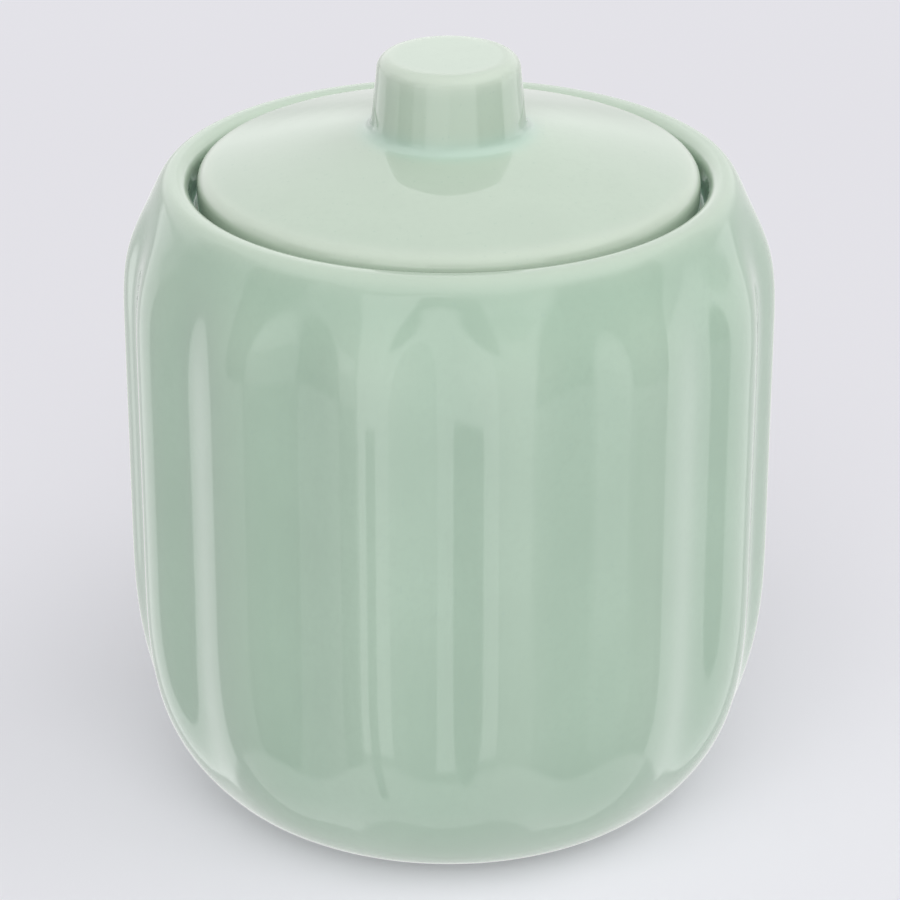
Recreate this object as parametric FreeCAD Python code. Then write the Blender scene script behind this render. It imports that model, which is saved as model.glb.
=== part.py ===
import FreeCAD, Part
import math
import os

# Cotton pad holder: a fluted stoneware jar with a drop-in lid that slopes up to its knob.
# The axis of the jar is Z, the table is Z = 0 and the front is -Y.

# Driving dimensions, in millimetres.

# Outside of the jar, drawn by control rows: the foot, the turn of the base, the wall, the shoulder, its turn
# and the rim
jar_diameter = 96.0
rim_height = 97.4
foot_diameter = 57.0
base_reach = 6.5
base_turn_inset = 4.5
base_turn_level = 9.0
wall_bottom = 25.0
wall_drop = 24.4
wall_rows = 4
shoulder_drop = 12.4
shoulder_turn_inset = 4.6
shoulder_turn_drop = 4.4
rim_reach = 1.6

# Flutes, at their full depth on the rows of the wall and the shoulder
flute_count = 14
flute_depth = 1.77
hollow_sharpness = 1.22
poles_per_flute = 12

# Inside of the jar
wall_thickness = 6.0
floor_thickness = 5.0
floor_corner = 18.0
foot_ring_width = 3.5
foot_recess = 2.0
foot_rounding = 0.6

# Mouth, with the ledge that carries the lid
mouth_inset = 10.3
lip_rounding = 2.0
rim_flat = 0.5
ledge_drop = 5.4
ledge_width = 4.1
ledge_thickness = 4.0
ledge_slope_height = 8.0
ledge_rounding = 0.8

# Lid
lid_gap = 1.2
lid_side_height = 6.0
lid_rise = 6.0
lid_crown = 0.2
lid_thickness = 5.0
lid_edge_rounding = 2.2
lid_seat_rounding = 0.6
ring_gap = 1.0
ring_width = 2.8
ring_depth = 4.0
ring_rounding = 0.8
ring_root = 2.0

# Knob, one piece with the lid
knob_height = 11.0
knob_top_diameter = 20.4
knob_foot_diameter = 22.6
knob_top_rounding = 2.0
knob_foot_fillet = 1.8
knob_wall = 5.6
hollow_rounding = 3.0

# Derived sizes
jar_radius = jar_diameter / 2
foot_radius = foot_diameter / 2
mouth_radius = jar_radius - mouth_inset
crown_radius = mouth_radius + lip_rounding + rim_flat
inner_radius = jar_radius - wall_thickness
neck_radius = mouth_radius - ledge_width
floor_level = foot_recess + floor_thickness
ledge_level = rim_height - ledge_drop
lid_radius = mouth_radius - lid_gap
ring_radius = neck_radius - ring_gap
lid_corner_level = ledge_level + lid_side_height
knob_foot_radius = knob_foot_diameter / 2
knob_foot_level = lid_corner_level + lid_rise
knob_top_level = knob_foot_level + knob_height
hollow_radius = knob_foot_radius - knob_wall
hollow_level = knob_top_level - knob_wall
ring_inside = ring_radius - ring_width
ring_level = ledge_level - ring_depth

origin = FreeCAD.Vector(0, 0, 0)
up = FreeCAD.Vector(0, 0, 1)


def on_section(radius, level):
    """A point of the half section in the XZ plane."""
    return FreeCAD.Vector(radius, 0, level)


def revolved(edges):
    """The solid swept by a closed half section about the axis."""
    return Part.Face(Part.Wire(edges)).revolve(origin, up, 360)


def straight_edges(points):
    """The straight edges that join a row of half-section points."""
    return [Part.makeLine(on_section(*a), on_section(*b)) for a, b in zip(points, points[1:])]


def rounded(solid, radius, level, rounding):
    """The solid with its circular edge at a radius and level rounded."""
    def is_the_edge(edge):
        circle = edge.Curve
        return (isinstance(circle, Part.Circle)
                and abs(circle.Radius - radius) < 0.01
                and abs(circle.Center.z - level) < 0.01)
    return solid.makeFillet(rounding, [edge for edge in solid.Edges if is_the_edge(edge)])


def lid_top(radius):
    """The height of the straight slope from the lid's edge up to the foot of its knob."""
    return lid_corner_level + lid_rise * (lid_radius - radius) / (lid_radius - knob_foot_radius)


def lid_under(radius):
    """The height of the lid's underside inside its locating ring."""
    return lid_top(radius) - lid_thickness


def skin_rows():
    """Control rows of the jar's skin from the table to the rim, as radius, level and share of flute depth."""
    wall_height = rim_height - wall_drop - wall_bottom
    base = [
        (foot_radius, 0, 0),
        (foot_radius + base_reach, 0, 0),
        (jar_radius - base_turn_inset, base_turn_level, 0),
    ]
    wall = [(jar_radius, wall_bottom + wall_height * row / (wall_rows - 1), 1) for row in range(wall_rows)]
    shoulder = [
        (jar_radius, rim_height - shoulder_drop, 1),
        (jar_radius - shoulder_turn_inset, rim_height - shoulder_turn_drop, 0),
        (crown_radius + rim_reach, rim_height, 0),
        (crown_radius, rim_height, 0),
    ]
    return base + wall + shoulder


def flute_shape(angle):
    """How far into a flute an angle lies: 0 on a ridge and 1 in the bottom of a hollow."""
    return ((1 - math.cos(flute_count * angle)) / 2) ** hollow_sharpness


def fluted_skin():
    """The solid inside the jar's outer skin, a cubic spline surface closed flat below and at the rim."""
    rows = skin_rows()
    spans = len(rows) - 3
    around = flute_count * poles_per_flute
    front = -math.pi / 2
    ridge = front + math.pi / flute_count
    poles = []
    for step in range(around):
        angle = 2 * math.pi * step / around
        hollow = flute_depth * flute_shape(angle)
        direction = FreeCAD.Vector(math.cos(ridge + angle), math.sin(ridge + angle), 0)
        poles.append([direction * (radius - share * hollow) + up * level for radius, level, share in rows])
    surface = Part.BSplineSurface()
    surface.buildFromPolesMultsKnots(
        poles,
        [1] * (around + 1), [4] + [1] * (spans - 1) + [4],
        list(range(around + 1)), list(range(spans + 1)),
        True, False, 3, 3)
    side = surface.toShape()
    ends = [Part.Face(Part.Wire([edge])) for edge in side.Edges if edge.BoundBox.ZLength < 0.001]
    solid = Part.makeSolid(Part.makeShell([side] + ends))
    solid.fix(0.001, 0.001, 0.001)
    return solid


def jar_hollow():
    """The space inside the jar: the store, the neck inside the ledge and the mouth above it."""
    above = rim_height + lip_rounding
    ledge_foot = ledge_level - ledge_thickness
    slope_foot = ledge_foot - ledge_slope_height
    solid = revolved(straight_edges([
        (0, floor_level),
        (inner_radius, floor_level),
        (inner_radius, slope_foot),
        (neck_radius, ledge_foot),
        (neck_radius, ledge_level),
        (mouth_radius, ledge_level),
        (mouth_radius, above),
        (0, above),
        (0, floor_level),
    ]))
    solid = rounded(solid, inner_radius, floor_level, floor_corner)
    solid = rounded(solid, inner_radius, slope_foot, floor_corner / 2)
    solid = rounded(solid, neck_radius, ledge_foot, ledge_thickness / 2)
    solid = rounded(solid, neck_radius, ledge_level, ledge_rounding)
    return rounded(solid, mouth_radius, ledge_level, ledge_rounding)


def jar_body():
    """The fluted jar with its ledge, its rounded lip and its foot ring."""
    foot_inside = foot_radius - foot_ring_width
    recess = Part.makeCylinder(foot_inside, foot_recess)
    recess = rounded(recess, foot_inside, foot_recess, foot_recess / 2)
    solid = fluted_skin().cut(jar_hollow()).cut(recess)
    solid = rounded(solid, mouth_radius, rim_height, lip_rounding)
    return rounded(solid, foot_inside, 0, foot_rounding)


def lid_blank():
    """The lid with its knob before its edges are rounded."""
    middle_radius = (knob_foot_radius + lid_radius) / 2
    slope = Part.Arc(
        on_section(knob_foot_radius, knob_foot_level),
        on_section(middle_radius, lid_top(middle_radius) + lid_crown),
        on_section(lid_radius, lid_corner_level)).toShape()
    knob = straight_edges([
        (0, hollow_level),
        (0, knob_top_level),
        (knob_top_diameter / 2, knob_top_level),
        (knob_foot_radius, knob_foot_level),
    ])
    underside = straight_edges([
        (lid_radius, lid_corner_level),
        (lid_radius, ledge_level),
        (ring_radius, ledge_level),
        (ring_radius, ring_level),
        (ring_inside, ring_level),
        (ring_inside, lid_under(ring_inside)),
        (hollow_radius, lid_under(hollow_radius)),
        (hollow_radius, hollow_level),
        (0, hollow_level),
    ])
    return revolved(knob + [slope] + underside)


def lid():
    """The lid with its knob, its flat seat and its locating ring."""
    solid = lid_blank()
    solid = rounded(solid, knob_top_diameter / 2, knob_top_level, knob_top_rounding)
    solid = rounded(solid, knob_foot_radius, knob_foot_level, knob_foot_fillet)
    solid = rounded(solid, lid_radius, lid_corner_level, lid_edge_rounding)
    solid = rounded(solid, lid_radius, ledge_level, lid_seat_rounding)
    solid = rounded(solid, ring_radius, ring_level, ring_rounding)
    solid = rounded(solid, ring_inside, ring_level, ring_rounding)
    solid = rounded(solid, ring_inside, lid_under(ring_inside), ring_root)
    solid = rounded(solid, hollow_radius, lid_under(hollow_radius), hollow_rounding / 2)
    return rounded(solid, hollow_radius, hollow_level, hollow_rounding)


os.makedirs("parts", exist_ok=True)
for name, make in (("jar_body", jar_body), ("lid", lid)):
    make().exportStep("parts/" + name + ".step")
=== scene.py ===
import math

import bpy
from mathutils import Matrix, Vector


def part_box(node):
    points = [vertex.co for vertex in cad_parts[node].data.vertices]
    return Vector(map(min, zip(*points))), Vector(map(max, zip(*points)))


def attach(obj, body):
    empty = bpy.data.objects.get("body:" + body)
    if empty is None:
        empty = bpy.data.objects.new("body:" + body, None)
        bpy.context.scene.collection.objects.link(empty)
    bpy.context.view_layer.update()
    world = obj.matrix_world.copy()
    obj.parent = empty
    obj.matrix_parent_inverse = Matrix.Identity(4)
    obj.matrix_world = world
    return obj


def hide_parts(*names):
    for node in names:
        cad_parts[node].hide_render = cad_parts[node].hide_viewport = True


# Cotton pad holder: a fluted celadon jar and its drop-in lid, dressed as glazed stoneware.

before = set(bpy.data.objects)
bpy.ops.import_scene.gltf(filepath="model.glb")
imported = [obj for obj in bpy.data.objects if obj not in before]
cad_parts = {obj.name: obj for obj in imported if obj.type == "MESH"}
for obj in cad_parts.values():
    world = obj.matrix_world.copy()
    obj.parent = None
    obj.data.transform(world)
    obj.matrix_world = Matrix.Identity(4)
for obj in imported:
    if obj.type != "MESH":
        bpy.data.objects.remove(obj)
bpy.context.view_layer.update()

# Sizes in metres. The solids give the outer ones.

_, jar_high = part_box("jar_body")
lid_low, lid_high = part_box("lid")

# Flutes
flute_count = 14
flute_depth = 0.00177
hollow_sharpness = 1.22
poles_per_flute = 12

# Outside of the jar
foot_radius = 0.0285
base_reach = 0.0065
base_turn_inset = 0.0045
base_turn_level = 0.009
wall_bottom = 0.025
wall_drop = 0.0244
wall_rows = 4
shoulder_drop = 0.0124
shoulder_turn_inset = 0.0046
shoulder_turn_drop = 0.0044
rim_reach = 0.0016

# Inside of the jar
wall_thickness = 0.006
floor_level = 0.007
floor_corner = 0.018
foot_ring_width = 0.0035
foot_recess = 0.002
foot_rounding = 0.0006

# Mouth, with the ledge that carries the lid
mouth_inset = 0.0103
lip_rounding = 0.002
rim_flat = 0.0005
ledge_drop = 0.0054
ledge_width = 0.0041
ledge_thickness = 0.004
ledge_slope_height = 0.008
ledge_rounding = 0.0008

# Lid
lid_side_height = 0.006
lid_rise = 0.006
lid_crown = 0.0002
lid_crown_radius = 0.25
lid_thickness = 0.005
lid_edge_rounding = 0.0022
seat_rounding = 0.0006
ring_gap = 0.001
ring_width = 0.0028
ring_rounding = 0.0008
ring_root = 0.002

# Knob
knob_top_radius = 0.0102
knob_top_rounding = 0.002
knob_foot_radius = 0.0113
knob_foot_fillet = 0.0018
knob_wall = 0.0056
hollow_rounding = 0.003

# Fineness of the meshes
columns_per_flute = 40
section_step = 0.001
arc_step = math.radians(9)
least_arc_steps = 4
skin_steps = 18
axis_tolerance = 1e-6

# Where the glaze lies thin or gathers. A bend is averaged over bend_reach; the glaze is thinnest on an edge as
# sharp as thin_edge_radius, and deepest in a fillet as tight as full_pool_radius.
bend_reach = 0.0022
thin_edge_radius = 0.0009
full_pool_radius = 0.0010
ridge_thinning = 0.12
# Near the foot the glaze colour is mixed towards cream: this share at the table, fading out at this height.
foot_paling = 0.3
foot_paling_height = 0.016

# Where the glaze was wiped off: this near to a flat face, and this far past the foot ring
wiped_height = 0.0002
wiped_margin = 0.0005

# Colours, linear
jar_celadon = (0.415, 0.56, 0.44)
lid_celadon = (0.515, 0.625, 0.515)
celadon_pooled = (0.41, 0.61, 0.53)
cream = (0.68, 0.74, 0.64)
speck = (0.36, 0.50, 0.42)
clay = (0.62, 0.52, 0.40)
deep_celadon_share = 0.95
dark_clay_share = 0.8
floor_colour = (0.89, 0.88, 0.93)
backdrop_colour = (0.775, 0.768, 0.813)

# Marks in the glaze and the clay: scales of the noise per metre, its range that shows, and its strength
cloud_scale = 45
cloud_range = (0.35, 0.65)
mottle_scale = 900
mottle_range = (0.45, 0.75)
mottle_strength = 0.6
fleck_scale = 1500
fleck_range = (0.70, 0.76)
fleck_strength = 0.25
ripple_scale = 130
ripple_strength = 0.02
ripple_depth = 0.001
grain_scale = 2600
grain_strength = 0.5
grain_depth = 0.0002
fine_detail = 3.0
plain_detail = 1.0
glaze_roughness = 0.03
clay_roughness = 0.8

# Floor, with the distances from the axis between which it fades into the backdrop, and the backdrop's share
# beside the jar, which softens its shadow
floor_half_width = 4.0
floor_roughness = 0.9
floor_fade = (0.14, 0.40)
shadow_fill = 0.35

# Light on the scene. Azimuth 0 is the front and 90 the right, in degrees.
even_light = 0.32
lamp_distance = 2.6
lamps = (
    {"name": "key", "azimuth": 88, "elevation": 42, "size": 2.2, "radiance": 1.15},
    {"name": "front", "azimuth": 0, "elevation": 54, "size": 2.4, "radiance": 2.65},
)

# The studio that the glaze mirrors: broad panels by direction, as for the lamps. A panel covers the even
# light of the room and the panels before it.
room_light = 1.0
studio_panels = (
    {"name": "table", "azimuth": (-100, 100), "elevation": (-72, -46), "softness": 1.5, "light": 1.6},
    {"name": "overhead", "azimuth": (-190, 190), "elevation": (34, 95), "softness": 3, "light": 1.65},
    {"name": "back_right", "azimuth": (125, 190), "elevation": (4, 40), "softness": 6, "light": 1.5},
    {"name": "back_left", "azimuth": (-190, -108), "elevation": (4, 40), "softness": 6, "light": 1.75},
    {"name": "right_wall", "azimuth": (92, 134), "elevation": (-46, 4), "softness": 1.5, "light": 1.7},
    {"name": "left_wall", "azimuth": (-142, -112), "elevation": (-46, 2), "softness": 2, "light": 1.75},
    {"name": "front_left", "azimuth": (-33, 3), "elevation": (-42, 30), "softness": 1.2, "light": 2.0},
    {"name": "front_right", "azimuth": (3, 42), "elevation": (-28, 26), "softness": 1.5, "light": 1.5},
    {"name": "stand", "azimuth": (-25, -14), "elevation": (-60, -21.5), "softness": 1.3, "light": 0.65},
    {"name": "camera", "azimuth": (-8, 11), "elevation": (19, 28), "softness": 1.5, "light": 0.5},
    {"name": "upper_left", "azimuth": (-52, -36), "elevation": (2, 14), "softness": 1.5, "light": 1.6},
    {"name": "right_low", "azimuth": (48, 91), "elevation": (-46, -16), "softness": 1.5, "light": 0.75},
    {"name": "right_dark", "azimuth": (45, 91), "elevation": (-16, 28), "softness": 1.5, "light": 0.15},
    {"name": "left_low", "azimuth": (-58, -36), "elevation": (-46, -16), "softness": 1.5, "light": 0.55},
    {"name": "left_dark", "azimuth": (-80, -54), "elevation": (-16, 28), "softness": 1.5, "light": 0.3},
)

# Camera, fitted to the photograph's frame of 900 by 900 pixels
frame_pixels = 900
focal_pixels = 3674
sensor_width = 36
camera_distance = 0.4999
camera_height = 0.2853
camera_pitch = math.radians(24.95)
camera_azimuth = math.radians(1.36)
axis_pixel = 448.8


# Flutes

def flute_shape(angle):
    """How far into a flute an angle lies: 0 on a ridge and 1 in the bottom of a hollow."""
    return ((1 - math.cos(flute_count * angle)) / 2) ** hollow_sharpness


def soft_flute(angle):
    """The flute's shape averaged over neighbouring angles, as the solid's spline averages its poles."""
    pole_angle = math.radians(360 / flute_count / poles_per_flute)
    beside = flute_shape(angle - pole_angle) + flute_shape(angle + pole_angle)
    return (beside + 4 * flute_shape(angle)) / 6


# Derived sizes
jar_radius = jar_high.x + flute_depth * soft_flute(0)
rim_level = jar_high.z
wall_top = rim_level - wall_drop
shoulder_level = rim_level - shoulder_drop
shoulder_turn_level = rim_level - shoulder_turn_drop
inner_radius = jar_radius - wall_thickness
foot_inside = foot_radius - foot_ring_width
mouth_radius = jar_radius - mouth_inset
crown_radius = mouth_radius + lip_rounding + rim_flat
neck_radius = mouth_radius - ledge_width
ledge_level = rim_level - ledge_drop
ledge_foot = ledge_level - ledge_thickness
slope_foot = ledge_foot - ledge_slope_height
lid_radius = lid_high.x
lid_corner_level = ledge_level + lid_side_height
ring_level = lid_low.z
ring_radius = neck_radius - ring_gap
ring_inside = ring_radius - ring_width
knob_top_level = lid_high.z
knob_foot_level = lid_corner_level + lid_rise
hollow_radius = knob_foot_radius - knob_wall
hollow_level = knob_top_level - knob_wall
columns = flute_count * columns_per_flute


# Half sections. A point is (radius, level, flute share); the material lies on the right of the walk.

def rounded_section(corners):
    """Points along a half section through corners given as (radius, level, rounding)."""
    points = []
    for index, (radius, level, rounding) in enumerate(corners):
        here = Vector((radius, level))
        if rounding == 0:
            points.append(here)
            continue
        before = (Vector(corners[index - 1][:2]) - here).normalized()
        after = (Vector(corners[index + 1][:2]) - here).normalized()
        half = before.angle(after) / 2
        centre = here + (before + after).normalized() * (rounding / math.sin(half))
        start = here + before * (rounding / math.tan(half)) - centre
        turn = start.angle_signed(here + after * (rounding / math.tan(half)) - centre)
        steps = max(least_arc_steps, round(abs(turn) / arc_step))
        for step in range(steps + 1):
            angle = -turn * step / steps
            points.append(centre + Vector((
                start.x * math.cos(angle) - start.y * math.sin(angle),
                start.x * math.sin(angle) + start.y * math.cos(angle))))
    return [(point.x, point.y, 0.0) for point in subdivided(points)]


def subdivided(points):
    """The points with long straight runs cut into short ones."""
    result = [points[0]]
    for a, b in zip(points, points[1:]):
        cuts = max(1, math.ceil((b - a).length / section_step))
        result.extend(a.lerp(b, cut / cuts) for cut in range(1, cuts + 1))
    return result


def spline_point(rows, place):
    """A point of the cubic spline that its rows pull, with one span for each step of place."""
    spans = len(rows) - 3
    knots = [0] * 3 + list(range(spans + 1)) + [spans] * 3
    span = min(int(place), spans - 1)
    points = [Vector(row) for row in rows[span:span + 4]]
    for pull in range(1, 4):
        for index in range(3, pull - 1, -1):
            low = knots[span + index]
            high = knots[span + index + 4 - pull]
            points[index] = points[index - 1].lerp(points[index], (place - low) / (high - low))
    return tuple(points[3])


def skin_section():
    """The jar's outer skin from the rim down to the foot: shoulder, wall and base."""
    wall_step = (wall_top - wall_bottom) / (wall_rows - 1)
    rows = [
        (crown_radius, rim_level, 0),
        (crown_radius + rim_reach, rim_level, 0),
        (jar_radius - shoulder_turn_inset, shoulder_turn_level, 0),
        (jar_radius, shoulder_level, 1),
    ]
    rows += [(jar_radius, wall_top - wall_step * row, 1) for row in range(wall_rows)]
    rows += [
        (jar_radius - base_turn_inset, base_turn_level, 0),
        (foot_radius + base_reach, 0, 0),
        (foot_radius, 0, 0),
    ]
    steps = (len(rows) - 3) * skin_steps
    return [spline_point(rows, step / skin_steps) for step in range(steps + 1)]


def jar_section():
    """The whole half section of the jar, from the floor inside over the rim to the recess below."""
    inside = rounded_section([
        (0, floor_level, 0),
        (inner_radius, floor_level, floor_corner),
        (inner_radius, slope_foot, floor_corner / 2),
        (neck_radius, ledge_foot, ledge_thickness / 2),
        (neck_radius, ledge_level, ledge_rounding),
        (mouth_radius, ledge_level, ledge_rounding),
        (mouth_radius, rim_level, lip_rounding),
        (crown_radius, rim_level, 0),
    ])
    under = rounded_section([
        (foot_radius, 0, 0),
        (foot_inside, 0, foot_rounding),
        (foot_inside, foot_recess, foot_recess / 2),
        (0, foot_recess, 0),
    ])
    return inside[:-1] + skin_section() + under[1:]


def lid_level(radius):
    """The height of the lid's slope at a radius."""
    share = (lid_radius - radius) / (lid_radius - knob_foot_radius)
    return lid_corner_level + (knob_foot_level - lid_corner_level) * share


def lid_section():
    """The half section of the lid, from the top of its knob over its edge to the hollow below."""
    middle = (knob_foot_radius + lid_radius) / 2
    return rounded_section([
        (0, knob_top_level, 0),
        (knob_top_radius, knob_top_level, knob_top_rounding),
        (knob_foot_radius, knob_foot_level, knob_foot_fillet),
        (middle, lid_level(middle) + 2 * lid_crown, lid_crown_radius),
        (lid_radius, lid_corner_level, lid_edge_rounding),
        (lid_radius, ledge_level, seat_rounding),
        (ring_radius, ledge_level, 0),
        (ring_radius, ring_level, ring_rounding),
        (ring_inside, ring_level, ring_rounding),
        (ring_inside, lid_level(ring_inside) - lid_thickness, ring_root),
        (hollow_radius, lid_level(hollow_radius) - lid_thickness, hollow_rounding / 2),
        (hollow_radius, hollow_level, hollow_rounding),
        (0, hollow_level, 0),
    ])


# Meshes

def clipped(value):
    """The value held between 0 and 1."""
    return min(1.0, max(0.0, value))


def smoothed_bend(section):
    """The bend of the half section at each point, per metre and positive where convex, averaged."""
    points = [Vector(point[:2]) for point in section]
    turns = [0.0]
    along = [0.0]
    for a, b, c in zip(points, points[1:], points[2:]):
        turns.append((b - a).angle_signed(c - b, 0.0))
        along.append(along[-1] + (b - a).length)
    turns.append(0.0)
    along.append(along[-1] + (points[-1] - points[-2]).length)
    bends = []
    for place in along:
        weights = [max(0.0, 1 - abs(place - other) / bend_reach) for other in along]
        bends.append(sum(t * w for t, w in zip(turns, weights)) / bend_reach)
    return bends


def turned(name, section, bare, pale_at_table):
    """A closed mesh turned from a half section, with the glaze's marks as point attributes.

    thin is where the glaze lies thin, pool where it gathers, and clay where it was wiped off. thin also turns
    the glaze towards cream near the foot, by a given share at the table, fading out at a given height.
    """
    front = -math.pi / 2
    ridge = front + math.pi / flute_count
    verts = []
    faces = []
    rings = []
    marks = {"thin": [], "pool": [], "clay": []}
    for (radius, level, share), bend in zip(section, smoothed_bend(section)):
        over_edge = clipped(bend * thin_edge_radius)
        # Paler towards cream near the foot, most at the table.
        paling = pale_at_table * max(0.0, 1 - level / foot_paling_height)
        on_axis = radius < axis_tolerance
        ring = []
        for column in range(1 if on_axis else columns):
            angle = 2 * math.pi * column / columns
            hollow = soft_flute(angle)
            reach = radius - share * flute_depth * hollow
            ring.append(len(verts))
            verts.append((reach * math.cos(ridge + angle), reach * math.sin(ridge + angle), level))
            marks["thin"].append(over_edge + ridge_thinning * share * (0.5 - hollow) + paling)
            marks["pool"].append(clipped(-bend * full_pool_radius))
            marks["clay"].append(bare(radius, level))
        rings.append(ring)
    for upper, lower in zip(rings, rings[1:]):
        for column in range(columns):
            after = (column + 1) % columns
            corners = [upper[column % len(upper)], lower[column % len(lower)],
                       lower[after % len(lower)], upper[after % len(upper)]]
            faces.append(list(dict.fromkeys(corners)))
    mesh = bpy.data.meshes.new(name)
    mesh.from_pydata(verts, [], faces)
    for label, values in marks.items():
        mesh.attributes.new(label, "FLOAT", "POINT").data.foreach_set("value", values)
    mesh.polygons.foreach_set("use_smooth", [True] * len(faces))
    piece = bpy.data.objects.new(name, mesh)
    bpy.context.scene.collection.objects.link(piece)
    return piece


def jar_bare(radius, level):
    """1 where the jar is bare clay: under its foot ring and on its ledge."""
    under_foot = level < wiped_height and radius < foot_radius + wiped_margin
    at_ledge = abs(level - ledge_level) < wiped_height
    on_ledge = at_ledge and neck_radius < radius < mouth_radius - ledge_rounding
    return 1.0 if under_foot or on_ledge else 0.0


def lid_bare(radius, level):
    """1 where the lid is bare clay: on its flat seat."""
    return 1.0 if abs(level - ledge_level) < wiped_height and radius > ring_radius else 0.0


# Shader nodes

def feed(tree, socket, value):
    """Links an input socket to an output, or sets it to a number or a colour."""
    if isinstance(value, bpy.types.NodeSocket):
        tree.links.new(value, socket)
    elif isinstance(value, tuple):
        socket.default_value = (*value, 1)
    else:
        socket.default_value = value


def node(tree, kind, **inputs):
    """A new shader node with some of its input sockets fed."""
    made = tree.nodes.new(kind)
    for name, value in inputs.items():
        feed(tree, made.inputs[name.replace("_", " ")], value)
    return made


def mixed(tree, factor, first, second):
    """The colour between two, by a factor socket."""
    mix = tree.nodes.new("ShaderNodeMix")
    mix.data_type = "RGBA"
    feed(tree, mix.inputs["Factor"], factor)
    feed(tree, mix.inputs[6], first)
    feed(tree, mix.inputs[7], second)
    return mix.outputs[2]


def blended(tree, factor, first, second):
    """The shader between two, by a factor socket."""
    mix = node(tree, "ShaderNodeMixShader", Fac=factor)
    feed(tree, mix.inputs[1], first)
    feed(tree, mix.inputs[2], second)
    return mix.outputs["Shader"]


def calculated(tree, operation, first, second=0.0):
    """The result of a math node."""
    made = tree.nodes.new("ShaderNodeMath")
    made.operation = operation
    feed(tree, made.inputs[0], first)
    feed(tree, made.inputs[1], second)
    return made.outputs["Value"]


def ranged(tree, value, low, high, to_low=0.0, to_high=1.0):
    """A value mapped from one range to another, held at its ends."""
    mapped = node(tree, "ShaderNodeMapRange", Value=value,
                  From_Min=low, From_Max=high, To_Min=to_low, To_Max=to_high)
    return mapped.outputs["Result"]


def marked(tree, label):
    """A point attribute of the mesh."""
    attribute = tree.nodes.new("ShaderNodeAttribute")
    attribute.attribute_name = label
    return attribute.outputs["Fac"]


def noise(tree, place, scale, detail):
    """Cloudy noise on the piece's own coordinates; scale is per metre."""
    return node(tree, "ShaderNodeTexNoise", Vector=place, Scale=scale, Detail=detail).outputs["Fac"]


# Materials

def darker(colour, share):
    """A share of a colour."""
    return tuple(share * part for part in colour)


def glaze(name, celadon):
    """Glossy celadon glaze: clouded, pale over edges, blue where it pools, with specks and bare clay."""
    material = bpy.data.materials.new(name)
    material.use_nodes = True
    tree = material.node_tree
    shader = tree.nodes["Principled BSDF"]
    place = tree.nodes.new("ShaderNodeTexCoord").outputs["Object"]
    cloud = noise(tree, place, cloud_scale, fine_detail)
    mottle = noise(tree, place, mottle_scale, fine_detail)
    flecks = noise(tree, place, fleck_scale, plain_detail)
    grain = noise(tree, place, grain_scale, fine_detail)
    waves = noise(tree, place, ripple_scale, plain_detail)
    bare = marked(tree, "clay")

    deep = darker(celadon, deep_celadon_share)
    bare_clay = mixed(tree, grain, clay, darker(clay, dark_clay_share))
    colour = mixed(tree, ranged(tree, cloud, *cloud_range), celadon, deep)
    colour = mixed(tree, ranged(tree, mottle, *mottle_range, 0, mottle_strength), colour, deep)
    colour = mixed(tree, ranged(tree, flecks, *fleck_range, 0, fleck_strength), colour, speck)
    colour = mixed(tree, marked(tree, "pool"), colour, celadon_pooled)
    colour = mixed(tree, marked(tree, "thin"), colour, cream)
    colour = mixed(tree, bare, colour, bare_clay)
    feed(tree, shader.inputs["Base Color"], colour)
    feed(tree, shader.inputs["Roughness"], ranged(tree, bare, 0, 1, glaze_roughness, clay_roughness))

    ripple = node(tree, "ShaderNodeBump", Height=waves, Strength=ripple_strength, Distance=ripple_depth)
    tooth = node(tree, "ShaderNodeBump", Height=grain, Distance=grain_depth, Normal=ripple.outputs["Normal"])
    feed(tree, tooth.inputs["Strength"], ranged(tree, bare, 0, 1, 0, grain_strength))
    feed(tree, shader.inputs["Normal"], tooth.outputs["Normal"])
    return material


def dressed(piece, body, node_name, material):
    """Puts a piece on its body in place of a solid."""
    piece.data.materials.append(material)
    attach(piece, body)
    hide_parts(node_name)


# Stage: floor, light and camera

def floor_material():
    """Pale floor that the camera sees fade into the backdrop, clear from below."""
    material = bpy.data.materials.new("floor")
    material.use_nodes = True
    tree = material.node_tree
    shader = tree.nodes["Principled BSDF"]
    feed(tree, shader.inputs["Base Color"], floor_colour)
    feed(tree, shader.inputs["Roughness"], floor_roughness)
    feed(tree, shader.inputs["Specular IOR Level"], 0.0)
    place = tree.nodes.new("ShaderNodeNewGeometry").outputs
    away = tree.nodes.new("ShaderNodeVectorMath")
    away.operation = "LENGTH"
    feed(tree, away.inputs[0], place["Position"])
    far = ranged(tree, away.outputs["Value"], *floor_fade, shadow_fill)
    ray = tree.nodes.new("ShaderNodeLightPath").outputs
    seen = calculated(tree, "MULTIPLY", far, ray["Is Camera Ray"])
    backdrop = node(tree, "ShaderNodeEmission", Color=backdrop_colour).outputs["Emission"]
    faded = blended(tree, seen, shader.outputs["BSDF"], backdrop)
    clear = tree.nodes.new("ShaderNodeBsdfTransparent").outputs["BSDF"]
    surface = blended(tree, place["Backfacing"], faded, clear)
    feed(tree, tree.nodes["Material Output"].inputs["Surface"], surface)
    return material


def stage_floor():
    """A wide floor, left out of the glaze's reflections."""
    half = floor_half_width
    corners = [(-half, -half, 0), (half, -half, 0), (half, half, 0), (-half, half, 0)]
    mesh = bpy.data.meshes.new("floor")
    mesh.from_pydata(corners, [], [(0, 1, 2, 3)])
    mesh.materials.append(floor_material())
    floor = bpy.data.objects.new("floor", mesh)
    floor.visible_glossy = False
    bpy.context.scene.collection.objects.link(floor)


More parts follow.
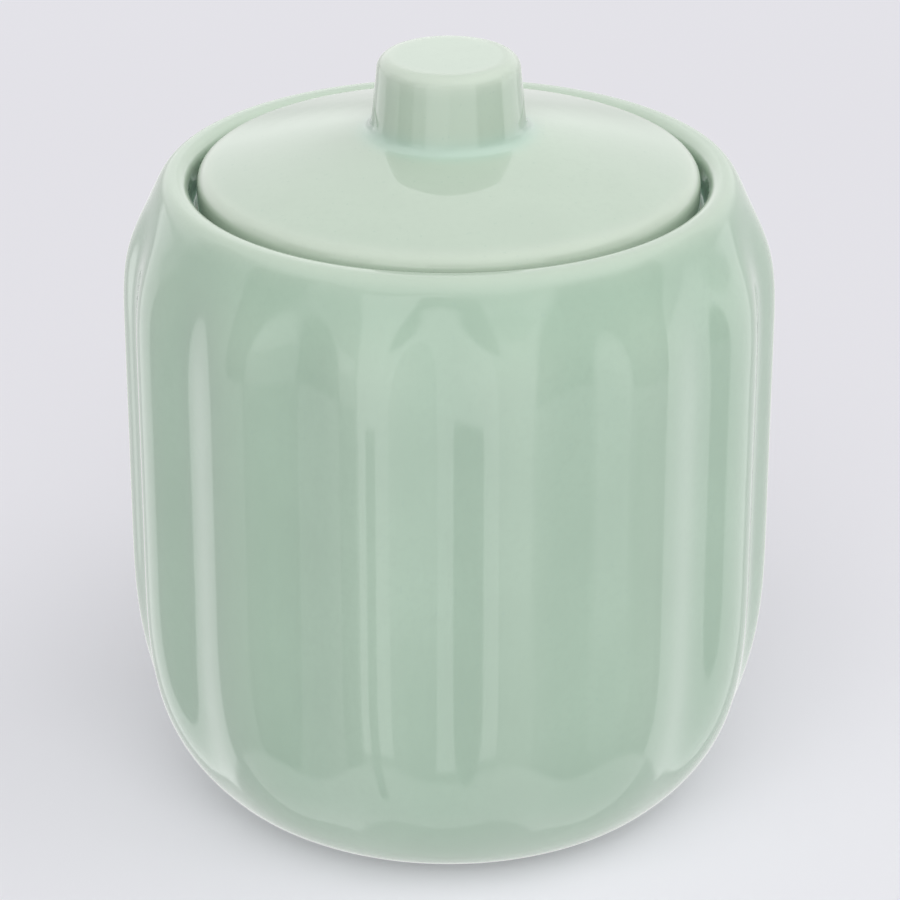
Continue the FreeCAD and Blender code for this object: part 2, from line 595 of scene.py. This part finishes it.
def soft_light(name, azimuth, elevation, size, radiance):
    """A square soft box that faces the jar, left out of the glaze's reflections."""
    lamp = bpy.data.lights.new(name, "AREA")
    lamp.shape = "SQUARE"
    lamp.size = size
    lamp.energy = radiance * math.pi * size * size
    box = bpy.data.objects.new(name, lamp)
    a = math.radians(azimuth)
    e = math.radians(elevation)
    away = Vector((math.sin(a) * math.cos(e), -math.cos(a) * math.cos(e), math.sin(e)))
    box.location = Vector((0, 0, rim_level / 2)) + away * lamp_distance
    box.rotation_euler = away.to_track_quat("Z", "Y").to_euler()
    box.visible_glossy = False
    bpy.context.scene.collection.objects.link(box)


def within(tree, value, limits, softness):
    """1 where a value in degrees lies between two limits and 0 outside them, with soft edges."""
    low, high = limits
    rise = ranged(tree, value, low - softness, low + softness)
    fall = ranged(tree, value, high - softness, high + softness, 1, 0)
    for soft in (rise, fall):
        soft.node.interpolation_type = "SMOOTHSTEP"
    return calculated(tree, "MULTIPLY", rise, fall)


def grey(light):
    """A colourless light."""
    return (light, light, light)


def stage_world():
    """Even light from all round, a plain backdrop, and the studio for the glaze to mirror."""
    world = bpy.data.worlds.new("studio")
    world.use_nodes = True
    tree = world.node_tree
    toward = tree.nodes.new("ShaderNodeTexCoord").outputs["Generated"]
    direction = node(tree, "ShaderNodeSeparateXYZ", Vector=toward).outputs
    toward_front = calculated(tree, "MULTIPLY", direction["Y"], -1.0)
    azimuth = calculated(tree, "DEGREES", calculated(tree, "ARCTAN2", direction["X"], toward_front))
    elevation = calculated(tree, "DEGREES", calculated(tree, "ARCSINE", direction["Z"]))
    mirrored = grey(room_light)
    for panel in studio_panels:
        across = within(tree, azimuth, panel["azimuth"], panel["softness"])
        upward = within(tree, elevation, panel["elevation"], panel["softness"])
        share = calculated(tree, "MULTIPLY", across, upward)
        mirrored = mixed(tree, share, mirrored, grey(panel["light"]))
    ray = tree.nodes.new("ShaderNodeLightPath").outputs
    lit = mixed(tree, ray["Is Glossy Ray"], grey(even_light), mirrored)
    seen = mixed(tree, ray["Is Camera Ray"], lit, backdrop_colour)
    feed(tree, tree.nodes["Background"].inputs["Color"], seen)
    bpy.context.scene.world = world


def stage_camera():
    """The camera at the photograph's angle."""
    data = bpy.data.cameras.new("camera")
    data.sensor_width = sensor_width
    data.lens = sensor_width * focal_pixels / frame_pixels
    data.shift_x = (frame_pixels / 2 - axis_pixel) / frame_pixels
    camera = bpy.data.objects.new("camera", data)
    camera.location = (
        camera_distance * math.sin(camera_azimuth),
        -camera_distance * math.cos(camera_azimuth),
        camera_height)
    camera.rotation_euler = (math.pi / 2 - camera_pitch, 0, camera_azimuth)
    bpy.context.scene.collection.objects.link(camera)
    bpy.context.scene.camera = camera


jar_piece = turned("jar_glazed", jar_section(), jar_bare, foot_paling)
dressed(jar_piece, "jar", "jar_body", glaze("jar_celadon", jar_celadon))
lid_piece = turned("lid_glazed", lid_section(), lid_bare, 0.0)
dressed(lid_piece, "lid", "lid", glaze("lid_celadon", lid_celadon))

stage_floor()
stage_world()
for lamp_values in lamps:
    soft_light(**lamp_values)
stage_camera()
bpy.context.scene.view_settings.view_transform = "Standard"
